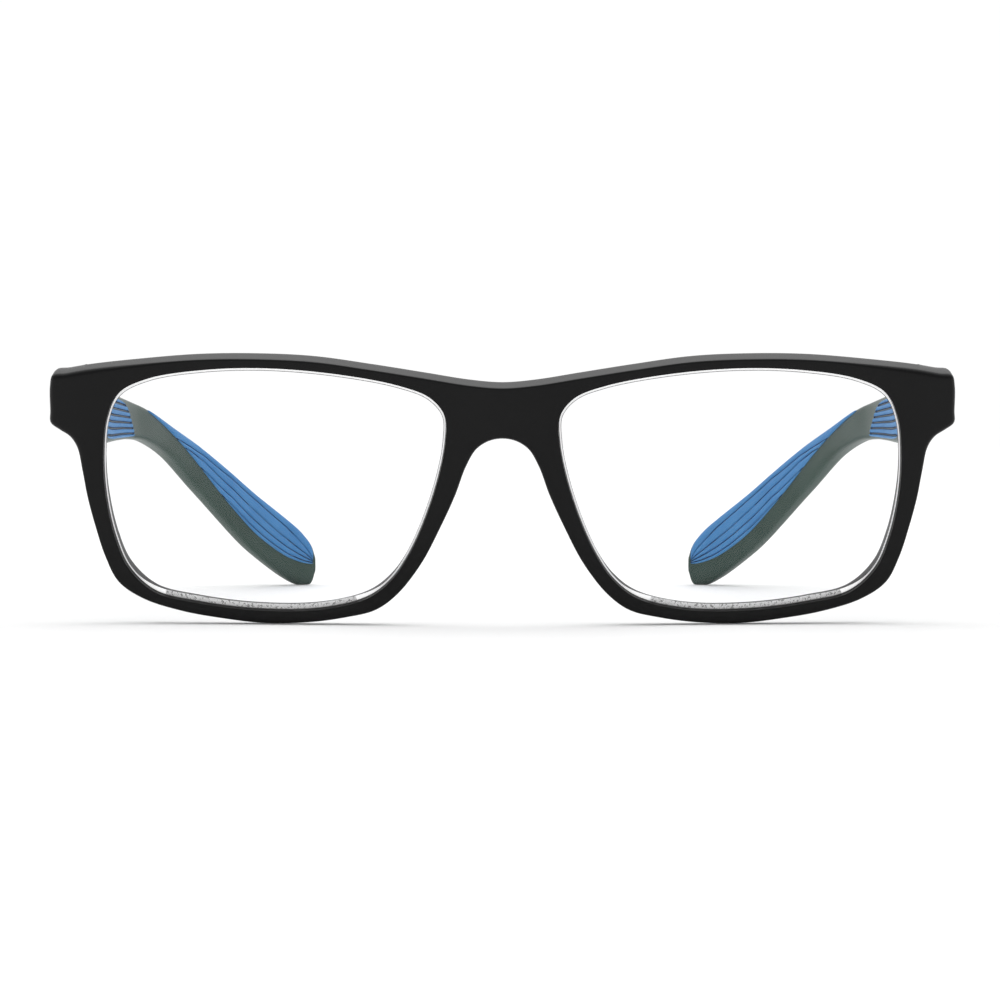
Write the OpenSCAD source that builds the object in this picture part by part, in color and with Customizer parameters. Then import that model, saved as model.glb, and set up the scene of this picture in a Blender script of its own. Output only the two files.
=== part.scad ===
// Full-rim rectangular glasses with plain lenses, spring hinges and soft pads on the temples.
// The front faces -Y, the temples run towards +Y, and the wearer's left side is at +X.
// At rest the glasses stand open on their lower rims and temple tips, on the plane z = 0.

/* [Front] */
// Gap between the two lens openings, at its narrowest
bridge_w = 17; // [16.6:0.1:17.4]
// Lean of the front, its top edge forwards
front_lean = 14; // [12:0.5:15]
// Radius of the front's wrap round the face, seen from above
wrap_r = 300; // [280:5:330]
// Thickness of the moulded front
front_t = 4.8; // [4.4:0.1:5]
// Depth of the lens behind the rim's front face
lens_setback = 0.9; // [0.8:0.1:1.2]
// Thickness of a lens
lens_t = 1.8; // [1.5:0.1:1.8]
// Depth of the groove that holds a lens in the rim
groove = 0.75; // [0.5:0.05:0.8]

/* [Hinge] */
// Distance of a hinge axis from the middle plane
hinge_x = 64.2; // [64.1:0.05:64.3]
// Height of the middle of a hinge
hinge_z = 35.2; // [35:0.1:35.4]
// Outer radius of the knuckles and the eye
knuckle_r = 1.6; // [1.5:0.05:1.65]
// Radius of the hinge screw's shank
screw_r = 0.7; // [0.6:0.05:0.8]
// Thickness of the eye between the two knuckles
eye_t = 1.5; // [1.4:0.1:1.6]
// Gap between an end piece and its temple, which lets the temple flex outwards
butt_gap = 0.6; // [0.55:0.01:0.65]
// Number of turns of a hinge spring
spring_turns = 7; // [6:1:9]

/* [Temple] */
// Depth of a soft pad below the temple's inner face
pad_depth = 0.6; // [0.5:0.05:0.7]
// Height of a soft pad above the temple's inner face
pad_rise = 0.3; // [0.2:0.05:0.35]

/* [Hidden] */
$fn = 48;

// Half of the front's outline as [x, height along the front], from the top of the bridge
// over the end piece and the lower rim to the underside of the bridge.
front_half = [
    [0, 38.1], [5, 38.5], [12, 39.6], [20, 40.8], [29, 41.9], [38, 42.1], [47, 41.7], [56.9, 40.5],
    [63.9, 39.4], [67.5, 38.6], [69.5, 38.2], [70, 36.4], [70.1, 32.4], [70.1, 30.6], [68.6, 29.5],
    [67.1, 28.6], [66, 27], [65.2, 23.1], [64.5, 18.9], [63.4, 14.3], [62, 9.6], [60, 5.6],
    [56.2, 3.1], [50.1, 1.4], [43.6, 0.5], [37, 0], [29.9, 0.4], [24.4, 1.3], [19.7, 2.6],
    [16.4, 5.1], [12.6, 10.1], [9.4, 16.3], [7.2, 21.2], [5.6, 25.6], [4, 28.4], [2.1, 29.7],
    [0, 30.1]
];
// Outline of the lens opening at +X for a bridge of 17, anticlockwise from the top.
opening_17 = [
    [36, 40.7], [25, 40], [15.5, 38.3], [11, 36.5], [8.8, 33.7], [8.7, 29.8], [9.7, 24.3],
    [11.9, 17.3], [14.5, 11.5], [17.2, 7.5], [20.8, 4.6], [27.9, 2.6], [38, 2.1], [47.6, 2.9],
    [54.3, 4.3], [58.3, 7.9], [60.3, 12.7], [61.6, 19.5], [61.8, 25.8], [61.1, 31.7], [59.1, 35.9],
    [54.5, 38.4], [46, 40.1]
];
outline_steps = 3;
front_outline = closed_spline(mirrored_half(front_half), outline_steps);
opening_points = [for (p = opening_17) [p.x + (bridge_w - 17) / 2, p.y]];
opening_outline = closed_spline(opening_points, outline_steps);
lens_play = 0.03;
prism_depth = 30;

// End piece behind the front, on which the temple butts.
end_x0 = 65;
end_x1 = 69.8;
end_y0 = 2.4;
end_y1 = 10;
end_z0 = 30.8;
end_z1 = 39.9;
end_round = 2;

// Hinge: its axis is vertical and stands in the middle of the butt gap.
hinge_y = end_y1 + butt_gap / 2;
knuckle_h = 1.25;
side_play = 0.05;
hinge_z0 = hinge_z - eye_t / 2 - side_play - knuckle_h;
hinge_z1 = hinge_z + eye_t / 2 + side_play + knuckle_h;
swing_play = 0.15;
bore_play = 0.03;
leaf_x0 = 65.1;
leaf_x1 = 66.7;
leaf_y0 = 5;
leaf_y1 = 9.8;
head_r = 1.2;
head_h = 0.5;

// Spring hinge inside the temple: sizes are measured along the rod.
rod_x = 67.1;
rod_r = 0.55;
block_y0 = 12.9;
block_y1 = 16.9;
block_w = 2.1;
block_h = 2.4;
neck_y0 = 10.8;
shoulder_y0 = 17;
shoulder_y1 = 17.6;
stop_y0 = 25;
stop_y1 = 25.8;
stop_r = 1.05;
rod_y1 = 26;
housing_x0 = 65.5;
housing_x1 = 68.7;
housing_y0 = 12.4;
housing_y1 = 28;
housing_h = 3.8;
chamber_r = 1.25;
chamber_y1 = 27.6;
slide_play = 0.05;
neck_play = 0.2;
coil_r = 0.9;
wire_r = 0.15;

// Temple stations from the butt to the tip:
// [x and y of the inner face, height of the top, height of the bottom, thickness].
temple = [
    [65.6, 10.2, 39.9, 30.8, 4.3], [65.6, 20, 39.5, 29.6, 4.3], [65.8, 30, 39.1, 28.7, 4.4],
    [67.2, 46, 38.4, 28.1, 4.3], [68.3, 65, 37.3, 27.9, 4.1], [67.8, 80, 36.3, 28.4, 4],
    [66.6, 88, 35.4, 28.6, 4], [64.7, 94, 34.2, 28.2, 4], [61.2, 104, 31, 25.2, 4.1],
    [56.7, 113, 27.2, 18.8, 4.3], [51.8, 120, 22.6, 12.2, 4.5], [47.1, 125.5, 18, 6.4, 4.6],
    [41.9, 130, 13.4, 1.7, 4.4], [39.2, 132.1, 10.8, 0, 3.8], [37.3, 133.5, 8.2, 0, 2.9],
    [36.6, 134, 5.6, 2.3, 1.3]
];
temple_steps = 3;
section_sides = 20;
squareness = 3.2;

// Pad outlines as [station, lower edge, upper edge]; an edge is a share of the temple's height.
inner_pad_edges = [
    [3, 0.48, 0.52], [3.2, 0.26, 0.74], [3.6, 0.14, 0.84], [4.2, 0.1, 0.88], [4.9, 0.1, 0.88],
    [5.2, 0.1, 0.78], [5.6, 0.1, 0.42], [5.9, 0.11, 0.16]
];
tip_pad_edges = [
    [7, 0.88, 0.9], [7.6, 0.74, 0.9], [8.5, 0.52, 0.9], [9.5, 0.34, 0.9], [10.5, 0.28, 0.9],
    [11.5, 0.3, 0.9], [12.5, 0.37, 0.88], [13.4, 0.44, 0.8], [13.9, 0.5, 0.62]
];
pad_steps = 3;

// Lowers the front onto z = 0.
front_drop = min([for (p = front_outline) p.y * cos(front_lean) + wrap_y(p.x) * sin(front_lean)]);
// Moves the whole model so that the middle of its depth is at y = 0.
front_y = min([for (p = front_outline) wrap_y(p.x) * cos(front_lean) - p.y * sin(front_lean)]);
back_y = max([for (r = temple_rings(), p = r) p.y]);
shift_y = -(front_y + back_y) / 2;

// Depth of the front's face behind its middle.
function wrap_y(x) = wrap_r - sqrt(wrap_r * wrap_r - x * x);

// A spline through the control points, which keeps even where their spacing isn't.
function mix(a, b, ta, tb, t) = (a * (tb - t) + b * (t - ta)) / (tb - ta);
function knot(a, b) = sqrt(max(norm(b - a), 0.001));
function spline_point(p0, p1, p2, p3, u) =
    let (
        t1 = knot(p0, p1),
        t2 = t1 + knot(p1, p2),
        t3 = t2 + knot(p2, p3),
        t = t1 + (t2 - t1) * u,
        a1 = mix(p0, p1, 0, t1, t),
        a2 = mix(p1, p2, t1, t2, t),
        a3 = mix(p2, p3, t2, t3, t),
        b1 = mix(a1, a2, 0, t2, t),
        b2 = mix(a2, a3, t1, t3, t)
    ) mix(b1, b2, t1, t2, t);
function closed_spline(p, steps) =
    let (n = len(p))
    [for (i = [0 : n - 1], k = [0 : steps - 1])
        spline_point(p[(i + n - 1) % n], p[i], p[(i + 1) % n], p[(i + 2) % n], k / steps)];
// A point at station s of an open row of control points.
function station(p, s) =
    let (
        n = len(p),
        i = min(floor(s), n - 2),
        before = i > 0 ? p[i - 1] : 2 * p[0] - p[1],
        after = i + 2 < n ? p[i + 2] : 2 * p[n - 1] - p[n - 2]
    ) spline_point(before, p[i], p[i + 1], after, s - i);

// The outline moved outwards by d along its own normals; the points run anticlockwise.
function unit(v) = v / norm(v);
function grown(p, d) =
    let (n = len(p))
    [for (i = [0 : n - 1])
        let (t = unit(p[(i + 1) % n] - p[(i + n - 1) % n])) p[i] + d * [t.y, -t.x]];

function mirrored_half(p) =
    concat(p, [for (i = [len(p) - 2 : -1 : 1]) [-p[i].x, p[i].y]]);

// Points on an arc, from angle a to angle b.
function arc(c, r, a, b, steps) =
    [for (k = [0 : steps]) c + r * [cos(a + (b - a) * k / steps), sin(a + (b - a) * k / steps)]];

// Temple sections: a rounded upright section at each station, square to the path.
function ring_at(s) =
    let (
        c = station(temple, s),
        ahead = station(temple, min(s + 0.05, len(temple) - 1)),
        behind = station(temple, max(s - 0.05, 0)),
        t = unit([ahead.x - behind.x, ahead.y - behind.y])
    ) [c, [t.y, -t.x]];
function power(v, e) = sign(v) * pow(abs(v), e);
function section_point(s, a) =
    let (
        ring = ring_at(s),
        c = ring[0],
        out = ring[1],
        d = c[4] / 2 * (1 + power(cos(a), 2 / squareness)),
        z = (c[2] + c[3]) / 2 + (c[2] - c[3]) / 2 * power(sin(a), 2 / squareness)
    ) [c.x + d * out.x, c.y + d * out.y, max(z, 0)];
function temple_rings() =
    [for (k = [0 : (len(temple) - 1) * temple_steps])
        [for (j = [0 : section_sides - 1])
            section_point(k / temple_steps, 360 * (j + 0.5) / section_sides)]];

// Pad sections: four corners, from pad_rise above the inner face to pad_depth below it.
function pad_ring(edge) =
    let (
        ring = ring_at(edge[0]),
        c = ring[0],
        out = ring[1],
        low = c[3] + (c[2] - c[3]) * edge[1],
        high = c[3] + (c[2] - c[3]) * edge[2]
    ) [for (q = [[pad_depth, low], [pad_depth, high], [-pad_rise, high], [-pad_rise, low]])
        [c.x + q[0] * out.x, c.y + q[0] * out.y, q[1]]];
function pad_rings(edges) =
    [for (k = [0 : (len(edges) - 1) * pad_steps]) pad_ring(station(edges, k / pad_steps))];

// Coil spring along +Y as rings of points.
function coil_rings() =
    let (
        sides = 8,
        turn_steps = 16,
        y0 = shoulder_y1 + wire_r + 0.02,
        y1 = stop_y0 - wire_r - 0.02
    ) [for (k = [0 : spring_turns * turn_steps])
        let (
            a = 360 * k / turn_steps,
            y = y0 + (y1 - y0) * k / (spring_turns * turn_steps)
        ) [for (j = [0 : sides - 1])
            let (r = coil_r + wire_r * cos(360 * j / sides))
            [rod_x + r * cos(a), y + wire_r * sin(360 * j / sides), hinge_z + r * sin(a)]]];

// A closed solid through rings of points, each with the same number of points.
module skin(rings) {
    n = len(rings[0]);
    last = len(rings) - 1;
    polyhedron(
        points = [for (r = rings, p = r) p],
        faces = concat(
            [[for (j = [n - 1 : -1 : 0]) j]],
            [[for (j = [0 : n - 1]) last * n + j]],
            [for (i = [0 : last - 1], j = [0 : n - 1])
                [i * n + j, i * n + (j + 1) % n, (i + 1) * n + (j + 1) % n, (i + 1) * n + j]]
        )
    );
}

module centred() {
    translate([0, shift_y, 0]) children();
}

module right_side() {
    mirror([1, 0, 0]) children();
}

module front_axes() {
    translate([0, 0, -front_drop]) rotate([front_lean, 0, 0]) children();
}

// A prism through the front with the given outline.
module through_front(outline) {
    translate([0, prism_depth - 2, 0]) rotate([90, 0, 0])
        linear_extrude(height = prism_depth) polygon(outline);
}

// The curved layer of the front between two depths behind its face.
module layer(from, to) {
    translate([0, wrap_r, -10]) difference() {
        cylinder(r = wrap_r - from, h = 60, $fn = 360);
        translate([0, 0, -1]) cylinder(r = wrap_r - to, h = 62, $fn = 360);
    }
}

module end_block() {
    r = end_round;
    shape = concat(
        [[end_x0, end_z1], [end_x0, end_z0]],
        arc([end_x1 - r, end_z0 + r], r, -90, 0, 6),
        arc([end_x1 - r, end_z1 - r], r, 0, 90, 6)
    );
    translate([0, end_y1, 0]) rotate([90, 0, 0])
        linear_extrude(height = end_y1 - end_y0) polygon(shape);
}

module hinge_leaf() {
    translate([leaf_x0, leaf_y0, hinge_z0])
        cube([leaf_x1 - leaf_x0, leaf_y1 - leaf_y0, hinge_z1 - hinge_z0]);
}

// Upright cylinder on the hinge axis.
module on_axis(r, z0, z1) {
    translate([hinge_x, hinge_y, z0]) cylinder(r = r, h = z1 - z0);
}

// Room for the knuckles, the eye and the screw.
module knuckle_room() {
    on_axis(knuckle_r + swing_play, hinge_z0 - swing_play, hinge_z1 + swing_play);
    on_axis(head_r + swing_play, hinge_z1, end_z1 + 1);
}

module knuckle(z0) {
    on_axis(knuckle_r, z0, z0 + knuckle_h);
    translate([hinge_x, leaf_y1 - 1.2, z0]) cube([leaf_x1 - hinge_x, 1.2, knuckle_h]);
}

module end_piece() {
    difference() {
        end_block();
        hinge_leaf();
        knuckle_room();
        translate([end_x0 - 0.5, leaf_y1 - 1.3, hinge_z0 - side_play])
            cube([leaf_x1 - end_x0 + 0.5, 3, hinge_z1 - hinge_z0 + 2 * side_play]);
    }
}

module front_frame() {
    color([0.08, 0.08, 0.085]) centred() {
        difference() {
            union() {
                front_axes() intersection() {
                    through_front(front_outline);
                    layer(0, front_t);
                }
                end_piece();
                right_side() end_piece();
            }
            front_axes() {
                lens_cuts();
                right_side() lens_cuts();
            }
            hinge_leaf();
            right_side() hinge_leaf();
        }
    }
}

module lens_cuts() {
    through_front(opening_outline);
    intersection() {
        through_front(grown(opening_outline, groove));
        layer(lens_setback - lens_play, lens_setback + lens_t + lens_play);
    }
}

module lens() {
    color([0.9, 0.95, 1, 0.3]) centred() front_axes() intersection() {
        through_front(grown(opening_outline, groove - lens_play));
        layer(lens_setback, lens_setback + lens_t);
    }
}

module front_hinge() {
    color([0.7, 0.7, 0.72]) centred() difference() {
        union() {
            hinge_leaf();
            knuckle(hinge_z0);
            knuckle(hinge_z1 - knuckle_h);
        }
        on_axis(screw_r + bore_play, hinge_z0 - 1, hinge_z1 + 1);
        on_axis(knuckle_r + swing_play, hinge_z0 + knuckle_h, hinge_z1 - knuckle_h);
    }
}

module hinge_screw() {
    slot_w = 0.3;
    slot_d = 0.2;
    color([0.75, 0.75, 0.77]) centred() difference() {
        union() {
            on_axis(screw_r, hinge_z0, hinge_z1 + 0.01);
            on_axis(head_r, hinge_z1, hinge_z1 + head_h);
        }
        translate([hinge_x - head_r - 1, hinge_y - slot_w / 2, hinge_z1 + head_h - slot_d])
            cube([2 * head_r + 2, slot_w, slot_d + 1]);
    }
}

// Cylinder along the rod of the spring hinge.
module on_rod(r, y0, y1) {
    translate([rod_x, y0, hinge_z]) rotate([-90, 0, 0]) cylinder(r = r, h = y1 - y0);
}

// Box along the rod, w wide and h high.
module rod_box(w, h, y0, y1) {
    translate([rod_x - w / 2, y0, hinge_z - h / 2]) cube([w, y1 - y0, h]);
}

module neck() {
    translate([hinge_x, neck_y0, hinge_z - eye_t / 2])
        cube([rod_x + block_w / 2 - hinge_x, block_y0 - neck_y0 + 0.5, eye_t]);
}

// Channel in the temple's butt in which the neck moves.
module neck_room() {
    translate([hinge_x, neck_y0 - 1.2, hinge_z - eye_t / 2 - neck_play])
        cube([rod_x + block_w / 2 + neck_play - hinge_x, 3, eye_t + 2 * neck_play]);
}

module hinge_slider() {
    color([0.7, 0.7, 0.72]) centred() difference() {
        union() {
            on_axis(knuckle_r, hinge_z - eye_t / 2, hinge_z + eye_t / 2);
            neck();
            rod_box(block_w, block_h, block_y0, block_y1);
            on_rod(rod_r, block_y1 - 0.1, rod_y1);
        }
        on_axis(screw_r + bore_play, hinge_z - eye_t, hinge_z + eye_t);
    }
}

module spring_stop() {
    color([0.72, 0.66, 0.5]) centred() difference() {
        on_rod(stop_r, stop_y0, stop_y1);
        on_rod(rod_r + 0.01, stop_y0 - 1, stop_y1 + 1);
    }
}

module hinge_spring() {
    color([0.6, 0.6, 0.62]) centred() skin(coil_rings());
}

module housing_block() {
    translate([housing_x0, housing_y0, hinge_z - housing_h / 2])
        cube([housing_x1 - housing_x0, housing_y1 - housing_y0, housing_h]);
}

module spring_housing() {
    p = 2 * slide_play;
    color([0.66, 0.66, 0.68]) centred() difference() {
        housing_block();
        rod_box(block_w + p, block_h + p, housing_y0 - 1, shoulder_y0);
        on_rod(rod_r + slide_play, shoulder_y0 - 1, shoulder_y1 + 1);
        on_rod(chamber_r, shoulder_y1, chamber_y1);
        translate([housing_x0 - 1, housing_y0 - 1, hinge_z - eye_t / 2 - neck_play])
            cube([rod_x - housing_x0 + 1, block_y0 + 1.6 - housing_y0, eye_t + 2 * neck_play]);
    }
}

module inner_pad_solid() {
    skin(pad_rings(inner_pad_edges));
}

module tip_pad_solid() {
    skin(pad_rings(tip_pad_edges));
}

module temple_arm() {
    color([0.29, 0.36, 0.33]) centred() difference() {
        skin(temple_rings());
        translate([hinge_x - 4, hinge_y - 5, 0]) cube([12, 5 + butt_gap / 2, 50]);
        inner_pad_solid();
        tip_pad_solid();
        housing_block();
        knuckle_room();
        neck_room();
        rod_box(
            block_w + 2 * neck_play, block_h + 2 * neck_play,
            block_y0 - 1.3, housing_y0 + 0.1
        );
    }
}

module inner_pad() {
    color([0.27, 0.45, 0.66]) centred() inner_pad_solid();
}

module tip_pad() {
    color([0.27, 0.45, 0.66]) centred() tip_pad_solid();
}

front_frame();
right_side() lens();  // right_lens
lens();  // left_lens
right_side() front_hinge();  // right_front_hinge
front_hinge();  // left_front_hinge
right_side() hinge_screw();  // right_hinge_screw
hinge_screw();  // left_hinge_screw
right_side() hinge_slider();  // right_hinge_slider
hinge_slider();  // left_hinge_slider
right_side() spring_stop();  // right_spring_stop
spring_stop();  // left_spring_stop
right_side() hinge_spring();  // right_hinge_spring
hinge_spring();  // left_hinge_spring
right_side() spring_housing();  // right_spring_housing
spring_housing();  // left_spring_housing
right_side() temple_arm();  // right_temple_arm
temple_arm();  // left_temple_arm
right_side() inner_pad();  // right_inner_pad
inner_pad();  // left_inner_pad
right_side() tip_pad();  // right_tip_pad
tip_pad();  // left_tip_pad
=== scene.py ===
"""Blue light glasses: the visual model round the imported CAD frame."""

import math

import bmesh
import bpy
import numpy as np
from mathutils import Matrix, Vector
from mathutils.geometry import delaunay_2d_cdt


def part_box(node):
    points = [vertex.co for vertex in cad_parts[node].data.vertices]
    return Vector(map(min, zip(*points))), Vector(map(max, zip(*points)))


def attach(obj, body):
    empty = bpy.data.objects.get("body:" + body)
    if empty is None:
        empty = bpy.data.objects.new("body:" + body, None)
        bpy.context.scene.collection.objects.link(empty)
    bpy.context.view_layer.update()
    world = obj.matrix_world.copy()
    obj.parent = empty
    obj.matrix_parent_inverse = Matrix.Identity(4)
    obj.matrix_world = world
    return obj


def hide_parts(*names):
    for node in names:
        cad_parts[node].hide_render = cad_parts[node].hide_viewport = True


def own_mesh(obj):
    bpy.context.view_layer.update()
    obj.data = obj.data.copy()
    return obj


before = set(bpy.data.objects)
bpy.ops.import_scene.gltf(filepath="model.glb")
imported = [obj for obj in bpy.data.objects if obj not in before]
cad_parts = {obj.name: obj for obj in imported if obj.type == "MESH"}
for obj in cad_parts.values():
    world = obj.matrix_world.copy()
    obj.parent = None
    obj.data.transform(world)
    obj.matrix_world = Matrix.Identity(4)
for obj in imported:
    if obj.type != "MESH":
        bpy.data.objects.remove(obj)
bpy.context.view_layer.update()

MM = 0.001
SIDES = {"left": 1, "right": -1}

# --- The front's design in millimetres, before it leans and is set on the floor ---
LEAN = math.radians(14)
WRAP_R = 300.0
FRONT_T = 4.8
FRONT_HALF = [
    (0, 38.1), (5, 38.5), (12, 39.6), (20, 40.8), (29, 41.9), (38, 42.1), (47, 41.7),
    (56.9, 40.5), (63.9, 39.4), (67.5, 38.6), (69.5, 38.2), (70, 36.4), (70.1, 32.4),
    (70.1, 30.6), (68.6, 29.5), (67.1, 28.6), (66, 27), (65.2, 23.1), (64.5, 18.9), (63.4, 14.3),
    (62, 9.6), (60, 5.6), (56.2, 3.1), (50.1, 1.4), (43.6, 0.5), (37, 0), (29.9, 0.4),
    (24.4, 1.3), (19.7, 2.6), (16.4, 5.1), (12.6, 10.1), (9.4, 16.3), (7.2, 21.2), (5.6, 25.6),
    (4, 28.4), (2.1, 29.7), (0, 30.1),
]
OPENING = [
    (36, 40.7), (25, 40), (15.5, 38.3), (11, 36.5), (8.8, 33.7), (8.7, 29.8), (9.7, 24.3),
    (11.9, 17.3), (14.5, 11.5), (17.2, 7.5), (20.8, 4.6), (27.9, 2.6), (38, 2.1), (47.6, 2.9),
    (54.3, 4.3), (58.3, 7.9), (60.3, 12.7), (61.6, 19.5), (61.8, 25.8), (61.1, 31.7),
    (59.1, 35.9), (54.5, 38.4), (46, 40.1),
]
BUTT_Y = 10.0
HINGE_X, HINGE_Y = 64.2, 10.3
HINGE_Z = (32.6, 38.1)
NOTCH_R = 1.8
BACK_EDGE, OPENING_EDGE = 0.5, 0.2
EDGE_SPACING, FACE_SPACING, EDGE_CUTS = 0.42, 1.1, 5
SHARP_FRONT, SHARP_LENS, SHARP_ARM = 50, 20, 50


def outer_edge(loop):
    """Radius of the front's outer edge: crisp along the top, softer at the ends and the arch."""
    u, v = np.abs(loop[:, 0]), loop[:, 1]
    end = smooth(48, 66, u) * smooth(20, 30, v)
    arch = (1 - smooth(6, 12, u)) * (1 - smooth(32, 34, v))
    return 0.3 + 0.55 * end + 0.45 * arch + 0.15 * (1 - smooth(2, 8, v))


def opening_edge(loop):
    return OPENING_EDGE * np.ones(len(loop))


def back_edge(loop):
    return BACK_EDGE * np.ones(len(loop))


# --- The temple's design: x, y, top, bottom and thickness at each station ---
TEMPLE = [
    (65.6, 10.2, 39.9, 30.8, 4.3), (65.6, 20, 39.5, 29.6, 4.3), (65.8, 30, 39.1, 28.7, 4.4),
    (67.2, 46, 38.4, 28.1, 4.3), (68.3, 65, 37.3, 27.9, 4.1), (67.8, 80, 36.3, 28.4, 4),
    (66.6, 88, 35.4, 28.6, 4), (64.7, 94, 34.2, 28.2, 4), (61.2, 104, 31, 25.2, 4.1),
    (56.7, 113, 27.2, 18.8, 4.3), (51.8, 120, 22.6, 12.2, 4.5), (47.1, 125.5, 18, 6.4, 4.6),
    (41.9, 130, 13.4, 1.7, 4.4), (39.2, 132.1, 10.8, 0, 3.8), (37.3, 133.5, 8.2, 0, 2.9),
    (36.6, 134, 5.6, 2.3, 1.3),
]
TEMPLE_START = 10.6
TEMPLE_SIDES = 64
HOUSING_Y = 12.4


def spline(points, steps, closed):
    """Centripetal spline through control points of any dimension."""
    p = np.array(points, float)
    n = len(p)
    if not closed:
        p = np.vstack([2 * p[0] - p[1], p, 2 * p[-1] - p[-2]])
    rows = []
    for i in range(n if closed else n - 1):
        if closed:
            q = [p[(i + k - 1) % n] for k in range(4)]
        else:
            q = [p[i + k] for k in range(4)]
        for k in range(steps):
            rows.append(spline_point(q, k / steps))
    if not closed:
        rows.append(p[-2])
    return np.array(rows)


def spline_point(q, u):
    gap = [math.sqrt(max(np.linalg.norm(q[k + 1] - q[k]), 0.001)) for k in range(3)]
    t1, t2, t3 = gap[0], gap[0] + gap[1], sum(gap)
    t = t1 + (t2 - t1) * u

    def mix(a, b, ta, tb):
        return (a * (tb - t) + b * (t - ta)) / (tb - ta)

    a1, a2, a3 = mix(q[0], q[1], 0, t1), mix(q[1], q[2], t1, t2), mix(q[2], q[3], t2, t3)
    return mix(mix(a1, a2, 0, t2), mix(a2, a3, t1, t3), t1, t2)


def resampled(loop, spacing):
    """A closed loop with even spacing along its length."""
    ring = np.vstack([loop, loop[:1]])
    s = np.concatenate([[0], np.cumsum(np.linalg.norm(np.diff(ring, axis=0), axis=1))])
    n = max(int(round(s[-1] / spacing)), 8)
    t = np.linspace(0, s[-1], n, endpoint=False)
    return np.column_stack([np.interp(t, s, ring[:, k]) for k in range(ring.shape[1])])


def outward_normals(loop):
    """Unit normals that point outwards from an anticlockwise loop."""
    t = np.roll(loop, -1, axis=0) - np.roll(loop, 1, axis=0)
    t /= np.linalg.norm(t, axis=1)[:, None]
    return np.column_stack([t[:, 1], -t[:, 0]])


def anticlockwise(loop):
    x, y = loop[:, 0], loop[:, 1]
    area = np.sum(x * np.roll(y, -1) - np.roll(x, -1) * y)
    return loop if area > 0 else loop[::-1]


def smooth(a, b, x):
    t = np.clip((x - a) / (b - a), 0, 1)
    return t * t * (3 - 2 * t)


def wrap_depth(u):
    return WRAP_R - np.sqrt(WRAP_R**2 - u**2)


def outer_loop(spacing):
    half = [np.array(p, float) for p in FRONT_HALF]
    full = half + [np.array((-p[0], p[1])) for p in half[-2:0:-1]]
    return anticlockwise(resampled(spline(full, 16, True), spacing))


def opening_loop(side, spacing):
    loop = spline(OPENING, 16, True)
    loop[:, 0] *= side
    return anticlockwise(resampled(loop, spacing))


FULL_OUTLINE = outer_loop(0.4)
DROP = np.min(FULL_OUTLINE[:, 1] * math.cos(LEAN) + wrap_depth(FULL_OUTLINE[:, 0]) * math.sin(LEAN))
SHIFT_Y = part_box("left_spring_housing")[0].y / MM - HOUSING_Y


def front_place(u, v, depth):
    """Row-frame point of a place on the front: u across, v up the front, depth behind its face.
    Past the front's own thickness the depth runs straight back, as the end pieces do."""
    u, v, depth = np.broadcast_arrays(*[np.asarray(a, float) for a in (u, v, depth)])
    within = np.minimum(depth, FRONT_T)
    beyond = depth - within
    yp = wrap_depth(u) + within
    y = yp * math.cos(LEAN) - v * math.sin(LEAN) + beyond + SHIFT_Y
    z = v * math.cos(LEAN) + yp * math.sin(LEAN) - DROP
    return np.column_stack([u.ravel(), y.ravel(), z.ravel()]) * MM


def back_depth(u, v):
    """Thickness of the front at a place: the rim's own, or as far back as the butt on an end piece."""
    rear = front_place(u, v, FRONT_T) / MM
    side = np.abs(u)
    notch = np.sqrt(np.clip(NOTCH_R**2 - (side - HINGE_X) ** 2, 0, None))
    in_notch = (rear[:, 2] > HINGE_Z[0]) & (rear[:, 2] < HINGE_Z[1]) & (side < HINGE_X + NOTCH_R)
    stop = np.where(in_notch, HINGE_Y - notch, BUTT_Y) + SHIFT_Y
    share = smooth(64.4, 65.2, side) * smooth(29.2, 30.1, v)
    return FRONT_T + share * np.clip(stop - rear[:, 1], 0, None)


def inside(loop, pts):
    """Even-odd test of points against a closed loop."""
    x, y = pts[:, 0][:, None], pts[:, 1][:, None]
    x0, y0 = loop[:, 0], loop[:, 1]
    x1, y1 = np.roll(x0, -1), np.roll(y0, -1)
    crosses = (y0 > y) != (y1 > y)
    with np.errstate(divide="ignore", invalid="ignore"):
        at = (x1 - x0) * (y - y0) / (y1 - y0) + x0
    return (np.sum(crosses & (x < at), axis=1) % 2).astype(bool)


def face_fill(outer, holes, spacing, fine=None):
    """Triangles between an outer loop and its holes, with a grid of points inside."""
    loops = [outer] + holes
    pts, edges = [], []
    for loop in loops:
        first = len(pts)
        pts += [tuple(p) for p in loop]
        edges += [(first + k, first + (k + 1) % len(loop)) for k in range(len(loop))]
    grid = grid_points(outer, spacing)
    if fine is not None:
        grid = np.vstack([grid, fine])
    keep = inside(outer, grid)
    for hole in holes:
        keep &= ~inside(hole, grid)
    border = np.vstack(loops)
    near = np.array([np.min(np.sum((border - g) ** 2, axis=1)) for g in grid[keep]])
    grid = grid[keep][near > 0.2**2]
    pts += [tuple(p) for p in grid]
    out = delaunay_2d_cdt([Vector(p) for p in pts], edges, [], 0, 1e-5)
    found = np.array([tuple(v) for v in out[0]])
    tris = np.array([f for f in out[2] if len(f) == 3])
    middle = found[tris].mean(axis=1)
    ok = inside(outer, middle)
    for hole in holes:
        ok &= ~inside(hole, middle)
    return found, tris[ok]


def grid_points(outer, spacing):
    lo, hi = outer.min(axis=0), outer.max(axis=0)
    xs = np.arange(lo[0] + 0.31 * spacing, hi[0], spacing)
    ys = np.arange(lo[1] + 0.37 * spacing, hi[1], spacing * 0.87)
    rows = [np.column_stack([xs + (k % 2) * spacing / 2, np.full(len(xs), y)])
            for k, y in enumerate(ys)]
    return np.vstack(rows)


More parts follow.
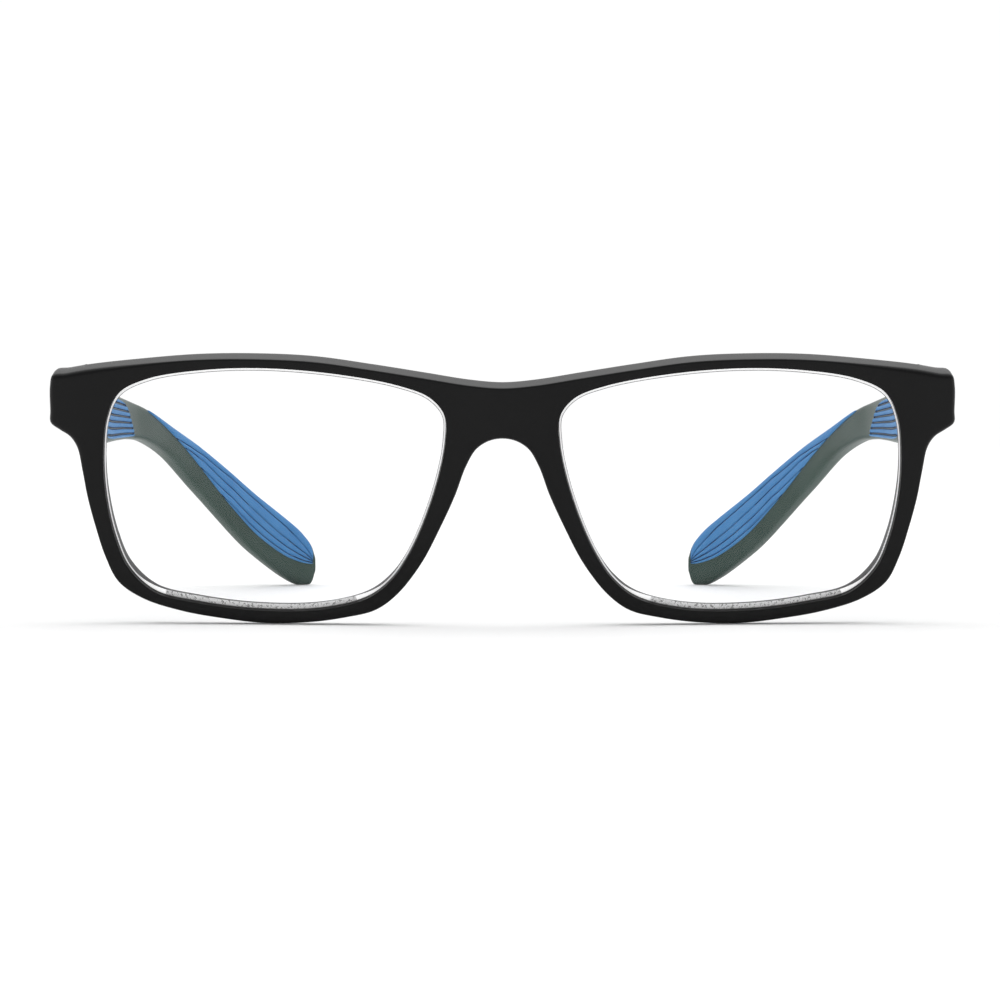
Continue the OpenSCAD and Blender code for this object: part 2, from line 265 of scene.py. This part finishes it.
def end_grid():
    """Extra points where the end pieces rise from the back of the front."""
    xs, ys = np.meshgrid(np.arange(63.6, 69.9, 0.3), np.arange(27.8, 39.2, 0.3))
    one = np.column_stack([xs.ravel(), ys.ravel()])
    return np.vstack([one, one * (-1, 1)])


def make_object(name, verts, faces):
    mesh = bpy.data.meshes.new(name)
    mesh.from_pydata([tuple(map(float, v)) for v in verts], [], [tuple(map(int, f)) for f in faces])
    mesh.update()
    obj = bpy.data.objects.new(name, mesh)
    bpy.context.scene.collection.objects.link(obj)
    return obj


def merged(obj, distance):
    """Joins points that coincide and turns every face outwards."""
    bm = bmesh.new()
    bm.from_mesh(obj.data)
    bmesh.ops.remove_doubles(bm, verts=bm.verts, dist=distance)
    bmesh.ops.recalc_face_normals(bm, faces=bm.faces)
    bm.to_mesh(obj.data)
    bm.free()
    obj.data.polygons.foreach_set("use_smooth", [True] * len(obj.data.polygons))
    obj.data.update()
    return obj


def front_mesh():
    """One closed shell: faces before and behind, rounded edges, and walls round each outline."""
    verts, faces = [], []

    def add(points):
        first = sum(len(v) for v in verts)
        verts.append(points)
        return first

    outlines = [(outer_loop(EDGE_SPACING), -1, outer_edge, back_edge)]
    for side in SIDES.values():
        outlines.append((opening_loop(side, EDGE_SPACING), 1, opening_edge, opening_edge))
    fills = {"front": [], "back": []}
    for loop, way, front_radius, back_radius in outlines:
        normals = outward_normals(loop)
        edge_f, edge_b = front_radius(loop), back_radius(loop)
        rings = []
        for k in range(EDGE_CUTS, -1, -1):
            a = math.pi / 2 * k / EDGE_CUTS
            p = loop + way * (edge_f * (1 - math.cos(a)))[:, None] * normals
            rings.append((p, edge_f * (1 - math.sin(a))))
        total = back_depth(loop[:, 0], loop[:, 1])
        for share in (0.25, 0.5, 0.75):
            depth = edge_f + (total - edge_f - edge_b) * share
            rings.append((loop, depth))
        for k in range(EDGE_CUTS + 1):
            a = math.pi / 2 * k / EDGE_CUTS
            p = loop + way * (edge_b * (1 - math.cos(a)))[:, None] * normals
            rings.append((p, back_depth(p[:, 0], p[:, 1]) - edge_b * (1 - math.sin(a))))
        n = len(loop)
        starts = [add(front_place(p[:, 0], p[:, 1], d)) for p, d in rings]
        for a, b in zip(starts, starts[1:]):
            for j in range(n):
                k = (j + 1) % n
                faces.append((a + j, b + j, b + k, a + k))
        fills["front"].append(rings[0][0])
        fills["back"].append(rings[-1][0])
    pts, tris = face_fill(fills["front"][0], fills["front"][1:], FACE_SPACING)
    first = add(front_place(pts[:, 0], pts[:, 1], 0))
    faces += [tuple(first + t) for t in tris]
    pts, tris = face_fill(fills["back"][0], fills["back"][1:], FACE_SPACING, end_grid())
    first = add(front_place(pts[:, 0], pts[:, 1], back_depth(pts[:, 0], pts[:, 1])))
    faces += [tuple(first + t) for t in tris]
    return merged(make_object("front_shell", np.vstack(verts), faces), 2e-6)


# --- Temples: a rounded section swept along the stations ---
def temple_path(steps):
    return spline(TEMPLE, steps, False)


def path_frames(rows):
    """Outward horizontal normals of the path at each row."""
    t = np.gradient(rows[:, :2], axis=0)
    t /= np.linalg.norm(t, axis=1)[:, None]
    return np.column_stack([t[:, 1], -t[:, 0]])


def signed_power(v, e):
    return np.sign(v) * np.abs(v) ** e


INNER_SQUARE, OUTER_SQUARE, UP_SQUARE = 4.2, 2.5, 3.0


def section(rows, normals, angle):
    """Points of the temple's surface: angle 0 faces outwards, 90 up, 180 inwards, 270 down."""
    c, s = np.cos(angle), np.sin(angle)
    square = np.where(c < 0, INNER_SQUARE, OUTER_SQUARE)
    half_t = rows[:, 4] / 2
    half_h = (rows[:, 2] - rows[:, 3]) / 2
    d = half_t + half_t * signed_power(c, 2 / square)
    z = (rows[:, 2] + rows[:, 3]) / 2 + half_h * signed_power(s, 2 / UP_SQUARE)
    xy = rows[:, :2] + d[:, None] * normals
    return np.column_stack([xy, z])


def temple_point(side, points):
    out = points.copy()
    out[:, 0] *= side
    out[:, 1] += SHIFT_Y
    return out * MM


def grid_shell(name, rings, join=True):
    """A closed shell through rings of equal length."""
    n = len(rings[0])
    verts = np.vstack(rings)
    faces = []
    for i in range(len(rings) - 1):
        for j in range(n):
            k = (j + 1) % n
            faces.append((i * n + j, i * n + k, (i + 1) * n + k, (i + 1) * n + j))
    last = (len(rings) - 1) * n
    verts = np.vstack([verts, rings[0].mean(axis=0), rings[-1].mean(axis=0)])
    a, b = len(verts) - 2, len(verts) - 1
    for j in range(n):
        k = (j + 1) % n
        faces.append((a, k, j))
        faces.append((b, last + j, last + k))
    obj = make_object(name, verts, faces)
    return merged(obj, 1e-7) if join else obj


def temple_mesh(side_name):
    side = SIDES[side_name]
    rows = temple_path(16)
    rows = rows[rows[:, 1] >= TEMPLE_START - 0.2]
    rows[:, 3] = np.maximum(rows[:, 3], 0)
    normals = path_frames(rows)
    rings = []
    for j in range(TEMPLE_SIDES):
        angle = np.full(len(rows), 2 * math.pi * (j + 0.5) / TEMPLE_SIDES)
        rings.append(section(rows, normals, angle))
    stack = np.array(rings).transpose(1, 0, 2)
    stack[0, :, 1] = TEMPLE_START
    stack[:, :, 2] = np.maximum(stack[:, :, 2], 0)
    return grid_shell(side_name + "_temple_shell", [temple_point(side, r) for r in stack])


# --- Soft pads: a ribbed patch on the inner face, with its edges tucked into the arm ---
INNER_PAD = [
    (3, 0.48, 0.52), (3.2, 0.26, 0.74), (3.6, 0.14, 0.84), (4.2, 0.08, 0.88), (4.9, 0.06, 0.88),
    (5.2, 0.06, 0.78), (5.6, 0.06, 0.42), (5.9, 0.07, 0.12),
]
TIP_PAD = [
    (7, 0.9, 0.97), (7.6, 0.77, 0.985), (8.5, 0.55, 0.985), (9.5, 0.36, 0.985),
    (10.5, 0.29, 0.985), (11.5, 0.3, 0.985), (12.5, 0.37, 0.985), (13.4, 0.44, 0.97),
    (13.9, 0.49, 0.92), (14.15, 0.52, 0.8),
]


def stations_at(values):
    """Temple rows at fractional station numbers."""
    fine = 40
    rows = temple_path(fine)
    at = np.arange(len(rows)) / fine
    return np.column_stack([np.interp(values, at, rows[:, k]) for k in range(5)])


# Groove lines of the tip pad: station and share of the pad's width, lower edge to upper edge.
TIP_GROOVES = [
    [(9.6, 0), (9.96, 0.05), (11, 0.1), (11.95, 0.09), (13.35, 0.08), (14.1, 0.08)],
    [(8.9, 0), (9.2, 0.1), (9.96, 0.26), (11, 0.29), (11.95, 0.25), (13.35, 0.2), (14.1, 0.16)],
    [(8.35, 0), (8.6, 0.22), (9, 0.41), (9.96, 0.51), (11, 0.52), (11.95, 0.45), (13.35, 0.34),
     (14.1, 0.24)],
    [(8.05, 0), (8.3, 0.25), (8.55, 0.45), (9, 0.66), (9.96, 0.79), (11, 0.81), (11.95, 0.75),
     (13.35, 0.56), (14.1, 0.34)],
]
RIB_FIRST, RIB_PITCH, RIB_COUNT = 0.02, 0.13, 7
# The second number is how far from a groove's line, as a share of the groove's width, the faces get
# painted shade.
GROOVE_CUTS, GROOVE_SHADE_REACH = 14, 0.8
PAD_RISE, PAD_SINK, PAD_ROOT, PAD_CROWN = 0.3, 0.12, 0.7, 0.1
EDGE_ROLL, GROOVE_FADE, FAR = 0.35, 0.4, 9.0
RIB_SCALLOP = 0.02


def tip_lines(station, low, high):
    return [np.interp(station, *zip(*line)) for line in TIP_GROOVES]


def inner_lines(station, low, high):
    shares = [RIB_FIRST + RIB_PITCH * k for k in range(1, RIB_COUNT)]
    return [np.clip((share - low) / np.maximum(high - low, 0.01), 0, 1) for share in shares]


def pad_mesh(name, side_name, track, lines, depth, groove):
    """A patch on the arm's inner face whose grid follows its groove lines; faces along those lines
    take the second material, a darker blue of painted shade.
    """
    rows = stations_at(track[:, 0])
    normals = path_frames(rows)
    low, high = track[:, 1], track[:, 2]
    width = np.maximum((high - low) * (rows[:, 2] - rows[:, 3]), 0.02)
    along = np.concatenate([[0], np.cumsum(np.linalg.norm(np.diff(rows[:, :3], axis=0), axis=1))])
    end_gap = np.minimum(along, along[-1] - along)
    marks = [np.zeros(len(rows))] + lines(track[:, 0], low, high) + [np.ones(len(rows))]
    out = -np.column_stack([normals, np.zeros(len(rows))])
    top, under, dark = [], [], []
    for a, b in zip(marks, marks[1:]):
        first_edge, last_edge = a is marks[0], b is marks[-1]
        for cut in range(GROOVE_CUTS + (1 if last_edge else 0)):
            t = (1 - math.cos(math.pi * cut / GROOVE_CUTS)) / 2
            w = a + (b - a) * t
            to_a = np.where(a <= 0, FAR, (w - a) * width)
            to_b = np.where(b >= 1, FAR, (b - w) * width)
            near = np.minimum(FAR if first_edge else to_a, FAR if last_edge else to_b)
            rim = np.minimum(np.minimum(w, 1 - w) * width, end_gap)
            roll = np.sqrt(1 - (1 - np.clip(rim / EDGE_ROLL, 0, 1)) ** 2)
            cutting = depth * np.exp(-((near / groove) ** 2)) * smooth(0, GROOVE_FADE, rim)
            crown = PAD_CROWN * np.sin(math.pi * t)
            share = np.clip(low + (high - low) * w, 0.0005, 0.9995)
            z = 2 * share - 1
            angle = math.pi - np.arcsin(signed_power(z, UP_SQUARE / 2))
            base = section(rows, normals, angle)
            rise = -PAD_SINK + roll * (PAD_SINK + PAD_RISE + crown) - cutting
            top.append(base + out * rise[:, None])
            under.append(base - out * PAD_ROOT)
            # Faces this near a groove's line are marked for the darker blue: painted shade in the
            # groove.
            dark.append(near < groove * GROOVE_SHADE_REACH)
    rings = np.array(top + under[::-1]).transpose(1, 0, 2)
    obj = grid_shell(name, [temple_point(SIDES[side_name], r) for r in rings], join=False)
    index = np.zeros(len(obj.data.polygons), int)
    n = rings.shape[1]
    dark = np.array(dark).T
    painted_shade_strips = np.zeros((rings.shape[0] - 1, n), int)
    painted_shade_strips[:, :len(top) - 1] = dark[:-1, :-1] & dark[1:, 1:]
    index[:painted_shade_strips.size] = painted_shade_strips.ravel()
    obj.data.polygons.foreach_set("material_index", index)
    return merged(obj, 2e-6)


def inner_track():
    """The inner pad's edge, with a scallop at the rear end of each rib."""
    track = spline(INNER_PAD, 30, False)
    rear = smooth(4.95, 5.2, track[:, 0])
    wave = np.sin(2 * math.pi * (track[:, 2] - RIB_FIRST) / RIB_PITCH)
    track[:, 2] = np.maximum(track[:, 2] + RIB_SCALLOP * wave * rear, track[:, 1] + 0.01)
    return track


def tip_track():
    return spline(TIP_PAD, 24, False)


# --- Materials ---
def material(name):
    mat = bpy.data.materials.new(name)
    mat.use_nodes = True
    nt = mat.node_tree
    return mat, nt, nt.nodes["Principled BSDF"]


def noise(nt, scale, detail=3.0, rough=0.5):
    coords = nt.nodes.new("ShaderNodeTexCoord")
    tex = nt.nodes.new("ShaderNodeTexNoise")
    tex.inputs["Scale"].default_value = scale
    tex.inputs["Detail"].default_value = detail
    tex.inputs["Roughness"].default_value = rough
    nt.links.new(coords.outputs["Object"], tex.inputs["Vector"])
    return tex


def remap(nt, source, low, high):
    node = nt.nodes.new("ShaderNodeMapRange")
    node.inputs["To Min"].default_value = low
    node.inputs["To Max"].default_value = high
    nt.links.new(source, node.inputs["Value"])
    return node.outputs["Result"]


def tint(nt, source, dark, light):
    ramp = nt.nodes.new("ShaderNodeValToRGB")
    ramp.color_ramp.elements[0].position = 0.3
    ramp.color_ramp.elements[1].position = 0.7
    ramp.color_ramp.elements[0].color = (*dark, 1)
    ramp.color_ramp.elements[1].color = (*light, 1)
    nt.links.new(source, ramp.inputs["Fac"])
    return ramp.outputs["Color"]


def bump(nt, bsdf, source, strength, distance):
    node = nt.nodes.new("ShaderNodeBump")
    node.inputs["Strength"].default_value = strength
    node.inputs["Distance"].default_value = distance
    nt.links.new(source, node.inputs["Height"])
    nt.links.new(node.outputs["Normal"], bsdf.inputs["Normal"])


def moulded(name, dark, light, rough, grain, specular):
    """Moulded plastic or rubber: slight colour drift, and a grain in gloss and height."""
    mat, nt, bsdf = material(name)
    drift = noise(nt, 120, 2)
    fine = noise(nt, grain, 4, 0.6)
    nt.links.new(tint(nt, drift.outputs["Fac"], dark, light), bsdf.inputs["Base Color"])
    nt.links.new(remap(nt, fine.outputs["Fac"], rough - 0.06, rough + 0.06), bsdf.inputs["Roughness"])
    bsdf.inputs["Specular IOR Level"].default_value = specular
    bump(nt, bsdf, fine.outputs["Fac"], 0.25, 0.00004)
    return mat


def black_plastic():
    return moulded("black_plastic", (0.0028, 0.0028, 0.003), (0.004, 0.004, 0.0042), 0.36, 6000, 0.16)


def green_plastic():
    return moulded("green_plastic", (0.026, 0.054, 0.042), (0.034, 0.066, 0.053), 0.36, 5000, 0.28)


def blue_rubber():
    return moulded("blue_rubber", (0.055, 0.22, 0.5), (0.075, 0.265, 0.56), 0.55, 7000, 0.2)


# Darker blue for the bottoms of the pads' grooves: painted shade, since the rubber there is the same
# blue as the rest of the pad.
def blue_groove_painted_shade():
    return moulded("blue_groove_painted_shade", (0.004, 0.022, 0.08), (0.006, 0.03, 0.1), 0.7, 7000, 0.15)


def metal(name, colour, rough):
    mat, nt, bsdf = material(name)
    fine = noise(nt, 3000, 3)
    tone = tuple(0.85 * c for c in colour)
    nt.links.new(tint(nt, fine.outputs["Fac"], tone, colour), bsdf.inputs["Base Color"])
    nt.links.new(remap(nt, fine.outputs["Fac"], rough - 0.08, rough + 0.08), bsdf.inputs["Roughness"])
    bsdf.inputs["Metallic"].default_value = 1.0
    bump(nt, bsdf, fine.outputs["Fac"], 0.15, 0.00002)
    return mat


# An even share of mirror: a Fresnel share traps light between the lens's two faces.
LENS_MIRROR = 0.012


def clear_lens():
    """Clear coated plastic: mostly see-through, with a mirror at a low share."""
    mat, nt, bsdf = material("clear_lens")
    nt.nodes.remove(bsdf)
    clear = nt.nodes.new("ShaderNodeBsdfTransparent")
    clear.inputs["Color"].default_value = (0.997, 0.998, 1.0, 1)
    gloss = nt.nodes.new("ShaderNodeBsdfGlossy")
    gloss.inputs["Roughness"].default_value = 0.02
    mix = nt.nodes.new("ShaderNodeMixShader")
    mix.inputs["Fac"].default_value = LENS_MIRROR
    nt.links.new(clear.outputs["BSDF"], mix.inputs[1])
    nt.links.new(gloss.outputs["BSDF"], mix.inputs[2])
    nt.links.new(mix.outputs["Shader"], nt.nodes["Material Output"].inputs["Surface"])
    return mat


def lens_bevel_painted_glow():
    """The polished bevel round the lens: painted light, an opaque near-white that glows by emission in
    place of the light the clear bevel lets through.
    """
    mat, nt, bsdf = material("lens_bevel_painted_glow")
    fine = noise(nt, 2600, 3, 0.7)
    tone = tint(nt, fine.outputs["Fac"], (0.85, 0.85, 0.86), (0.97, 0.97, 0.97))
    nt.links.new(tone, bsdf.inputs["Base Color"])
    bsdf.inputs["Roughness"].default_value = 0.2
    # Emission here is a painted glow: the bevel is no lamp.
    bsdf.inputs["Emission Color"].default_value = (1, 1, 1, 1)
    bsdf.inputs["Emission Strength"].default_value = 0.6
    return mat


def lens_crease_painted_shade():
    """The lens's creases: a fine grey line of painted shade, for the dark line a crease shows in clear
    plastic.
    """
    mat, nt, bsdf = material("lens_crease_painted_shade")
    fine = noise(nt, 2600, 3, 0.7)
    tone = tint(nt, fine.outputs["Fac"], (0.35, 0.35, 0.35), (0.5, 0.5, 0.51))
    nt.links.new(tone, bsdf.inputs["Base Color"])
    bsdf.inputs["Roughness"].default_value = 0.3
    return mat


def lens_frost_painted_glow():
    """The ground bevel along the lower rim: pale and frosted, with darker marks at random, and a faint
    painted glow by emission.
    """
    mat, nt, bsdf = material("lens_frost_painted_glow")
    fine = noise(nt, 2300, 4, 0.7)
    ramp = nt.nodes.new("ShaderNodeValToRGB")
    ramp.color_ramp.elements[0].position = 0.4
    ramp.color_ramp.elements[1].position = 0.47
    ramp.color_ramp.elements[0].color = (0.06, 0.06, 0.06, 1)
    ramp.color_ramp.elements[1].color = (0.82, 0.82, 0.82, 1)
    nt.links.new(fine.outputs["Fac"], ramp.inputs["Fac"])
    nt.links.new(ramp.outputs["Color"], bsdf.inputs["Base Color"])
    bsdf.inputs["Roughness"].default_value = 0.4
    # Emission here is painted light that brightens the band; the bevel is no lamp.
    bsdf.inputs["Emission Color"].default_value = (1, 1, 1, 1)
    bsdf.inputs["Emission Strength"].default_value = 0.16
    bump(nt, bsdf, fine.outputs["Fac"], 0.4, 0.0001)
    return mat


def set_material(obj, *mats):
    for mat in mats:
        obj.data.materials.append(mat)


# --- Lenses ---
LENS_SETBACK, LENS_T = 0.9, 1.8
LENS_SPACING, LENS_GRID, GROOVE_REACH, GROOVE_TOP = 0.35, 1.6, 0.68, 0.75
CLEAR, CREASE, FROST, BEVEL = range(4)


def bevel_width(loop):
    """Width of the lens's visible bevel: a fine line, and a broad band along the lower rim."""
    low = 1 - smooth(2.9, 7.0, loop[:, 1])
    high = smooth(33, 37, loop[:, 1])
    return 0.42 + 0.62 * low + 0.12 * high


def lens_mesh(side_name):
    """One closed shell: its rings run from the back face through the groove to the front face."""
    side = SIDES[side_name]
    loop = opening_loop(side, LENS_SPACING)
    normals = outward_normals(loop)
    width = bevel_width(loop)[:, None]
    front, back = LENS_SETBACK, LENS_SETBACK + LENS_T
    rings = [
        (loop - width * normals, back, CLEAR),
        (loop + GROOVE_REACH * normals, back, CLEAR),
        (loop + GROOVE_REACH * normals, front + GROOVE_TOP, CLEAR),
        (loop - 0.02 * normals, front + 0.3, CREASE),
        (loop - 0.12 * normals, front + 0.25, BEVEL),
        (loop - (width - 0.09) * normals, front + 0.06, CREASE),
        (loop - width * normals, front, None),
    ]
    n = len(loop)
    verts = [front_place(p[:, 0], p[:, 1], depth) for p, depth, kind in rings]
    faces, index = [], []
    frosted = 1 - smooth(3.0, 4.2, loop[:, 1]) > 0.3
    for i in range(len(rings) - 1):
        kind = rings[i][2]
        for j in range(n):
            k = (j + 1) % n
            faces.append((i * n + j, i * n + k, (i + 1) * n + k, (i + 1) * n + j))
            # Bevel bands take the glowing near-white of painted light, or along the lower rim the
            # frost with its painted glow; crease bands take the grey line of painted shade.
            index.append(FROST if kind == BEVEL and frosted[j] else kind)
    for points, depth in ((rings[0][0], back), (rings[-1][0], front)):
        pts, tris = face_fill(points, [], LENS_GRID)
        first = sum(len(v) for v in verts)
        verts.append(front_place(pts[:, 0], pts[:, 1], depth))
        faces += [tuple(first + t) for t in tris]
        index += [CLEAR] * len(tris)
    obj = make_object(side_name + "_lens_body", np.vstack(verts), faces)
    obj.data.polygons.foreach_set("material_index", index)
    return merged(obj, 1e-7)


# --- Assembly ---
def place(obj, body, slot, *replaced):
    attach(obj, body)
    if replaced:
        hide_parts(*replaced)


def crisp(obj, angle):
    """Smooth shading that keeps hard edges."""
    obj.data.set_sharp_from_angle(angle=math.radians(angle))


def build_front(black):
    obj = front_mesh()
    set_material(obj, black)
    crisp(obj, SHARP_FRONT)
    place(obj, "front", "front", "front_frame")


def build_lens(side_name, glass):
    obj = lens_mesh(side_name)
    set_material(obj, *glass)
    crisp(obj, SHARP_LENS)
    place(obj, "front", "lens", side_name + "_lens")


def build_temple(side_name, green, blue, groove):
    body = side_name + "_temple"
    arm = temple_mesh(side_name)
    set_material(arm, green)
    crisp(arm, SHARP_ARM)
    place(arm, body, "temple", side_name + "_temple_arm")
    kinds = {"inner_pad": (inner_track(), inner_lines, 0.34, 0.3),
             "tip_pad": (tip_track(), tip_lines, 0.32, 0.14)}
    for kind, shape in kinds.items():
        pad = pad_mesh(side_name + "_" + kind + "_skin", side_name, *shape)
        # The pad's second material, groove, is the darker blue of painted shade for the grooves.
        set_material(pad, blue, groove)
        place(pad, body, "pad", side_name + "_" + kind)


# The spring hinge's coil: the first and last turn along y, and where it meets its stop.
SPRING_Y, SPRING_END = (17.77, 24.83), 24.98
SPRING_X, SPRING_Z = 67.1, 35.2
COIL_R, WIRE_R, SPRING_TURNS = 0.9, 0.15, 7
COIL_SIDES, TURN_STEPS = 10, 32


def build_spring(side_name, wire):
    """A coil of spring wire, built at rest and carried with the slider."""
    side = SIDES[side_name]
    round_wire = 2 * math.pi * np.arange(COIL_SIDES) / COIL_SIDES
    rings = []
    for t in np.linspace(0, 1, SPRING_TURNS * TURN_STEPS + 1):
        turn = 2 * math.pi * SPRING_TURNS * t
        r = COIL_R + WIRE_R * np.cos(round_wire)
        y = SPRING_Y[0] + (SPRING_Y[1] - SPRING_Y[0]) * t + WIRE_R * np.sin(round_wire)
        ring = np.column_stack([SPRING_X + r * math.cos(turn), y, SPRING_Z + r * math.sin(turn)])
        rings.append(temple_point(side, ring))
    obj = grid_shell(side_name + "_spring_coil", rings)
    set_material(obj, wire)
    place(obj, side_name + "_slider", "spring", side_name + "_hinge_spring")
    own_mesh(obj)


def finish_metal():
    nickel = metal("nickel", (0.62, 0.61, 0.6), 0.28)
    steel = metal("screw_steel", (0.6, 0.6, 0.62), 0.25)
    wire = metal("spring_wire", (0.5, 0.5, 0.52), 0.3)
    case = metal("housing_metal", (0.55, 0.55, 0.56), 0.35)
    kinds = {"front_hinge": nickel, "hinge_slider": nickel, "spring_stop": nickel,
             "hinge_screw": steel, "spring_housing": case}
    for side_name in SIDES:
        build_spring(side_name, wire)
        for kind, mat in kinds.items():
            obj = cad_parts[side_name + "_" + kind]
            if len(obj.material_slots) == 0:
                obj.data.materials.append(mat)
            for slot in obj.material_slots:
                slot.material = mat


# --- Stage, light and camera ---
# The room is dimmer before the glasses than behind them; the camera itself sees plain white.
ROOM_BEFORE, ROOM_BEHIND, BACKDROP = 0.68, 1.15, 1.02
ROOM_FROM, ROOM_TO = -0.5, 0.6
SUN = {"name": "key", "strength": 1.5, "elevation": 80, "azimuth": 0, "spread": 90}
FLOOR_HALF, FLOOR_GAP = 6.0, 0.00005


def world_light():
    world = bpy.data.worlds.new("studio")
    bpy.context.scene.world = world
    world.use_nodes = True
    nt = world.node_tree
    seen = nt.nodes["Background"]
    seen.inputs["Color"].default_value = (1, 1, 1, 1)
    seen.inputs["Strength"].default_value = BACKDROP
    room = nt.nodes.new("ShaderNodeBackground")
    coords = nt.nodes.new("ShaderNodeTexCoord")
    split = nt.nodes.new("ShaderNodeSeparateXYZ")
    ramp = nt.nodes.new("ShaderNodeMapRange")
    ramp.interpolation_type = "SMOOTHSTEP"
    ramp.inputs["From Min"].default_value = ROOM_FROM
    ramp.inputs["From Max"].default_value = ROOM_TO
    ramp.inputs["To Min"].default_value = ROOM_BEFORE
    ramp.inputs["To Max"].default_value = ROOM_BEHIND
    path = nt.nodes.new("ShaderNodeLightPath")
    mix = nt.nodes.new("ShaderNodeMixShader")
    nt.links.new(coords.outputs["Generated"], split.inputs["Vector"])
    nt.links.new(split.outputs["Y"], ramp.inputs["Value"])
    nt.links.new(ramp.outputs["Result"], room.inputs["Strength"])
    nt.links.new(path.outputs["Is Camera Ray"], mix.inputs["Fac"])
    nt.links.new(room.outputs["Background"], mix.inputs[1])
    nt.links.new(seen.outputs["Background"], mix.inputs[2])
    nt.links.new(mix.outputs["Shader"], nt.nodes["World Output"].inputs["Surface"])


def sun(name, strength, elevation, azimuth, spread):
    """A wide soft light from a compass direction: azimuth 0 is from behind the object."""
    data = bpy.data.lights.new(name, "SUN")
    data.energy = strength
    data.angle = math.radians(spread)
    obj = bpy.data.objects.new(name, data)
    e, a = math.radians(elevation), math.radians(azimuth)
    towards = Vector((math.sin(a) * math.cos(e), math.cos(a) * math.cos(e), math.sin(e)))
    obj.rotation_euler = towards.to_track_quat("Z", "Y").to_euler()
    bpy.context.scene.collection.objects.link(obj)


def floor():
    mesh = bpy.data.meshes.new("floor")
    s = FLOOR_HALF
    mesh.from_pydata([(-s, -s, 0), (s, -s, 0), (s, s, 0), (-s, s, 0)], [], [(0, 1, 2, 3)])
    obj = bpy.data.objects.new("floor", mesh)
    bpy.context.scene.collection.objects.link(obj)
    mat, nt, bsdf = material("floor_white")
    bsdf.inputs["Base Color"].default_value = (0.96, 0.96, 0.96, 1)
    bsdf.inputs["Roughness"].default_value = 0.6
    set_material(obj, mat)
    obj.location.z = -FLOOR_GAP


CAMERA_DISTANCE, CAMERA_HEIGHT, CAMERA_AIM = 0.5, 0.0296, 0.01934
CAMERA_SIDE, CAMERA_LENS, CAMERA_SENSOR = -0.00037, 116.3, 36
CAMERA_NEAR, CAMERA_FAR = 0.01, 50


def camera():
    data = bpy.data.cameras.new("camera")
    data.sensor_width = CAMERA_SENSOR
    data.lens = CAMERA_LENS
    data.clip_start = CAMERA_NEAR
    data.clip_end = CAMERA_FAR
    obj = bpy.data.objects.new("camera", data)
    front_y = SHIFT_Y * MM
    obj.location = (CAMERA_SIDE, front_y - CAMERA_DISTANCE, CAMERA_HEIGHT)
    aim = Vector((CAMERA_SIDE, front_y, CAMERA_AIM))
    obj.rotation_euler = (aim - obj.location).to_track_quat("-Z", "Y").to_euler()
    bpy.context.scene.collection.objects.link(obj)
    bpy.context.scene.camera = obj


def main():
    camera()
    world_light()
    floor()
    sun(**SUN)
    build_front(black_plastic())
    glass = (clear_lens(), lens_crease_painted_shade(), lens_frost_painted_glow(), lens_bevel_painted_glow())
    arm_finish = (green_plastic(), blue_rubber(), blue_groove_painted_shade())
    for side_name in SIDES:
        build_lens(side_name, glass)
        build_temple(side_name, *arm_finish)
    finish_metal()
    bpy.context.scene.view_settings.view_transform = "Standard"


main()
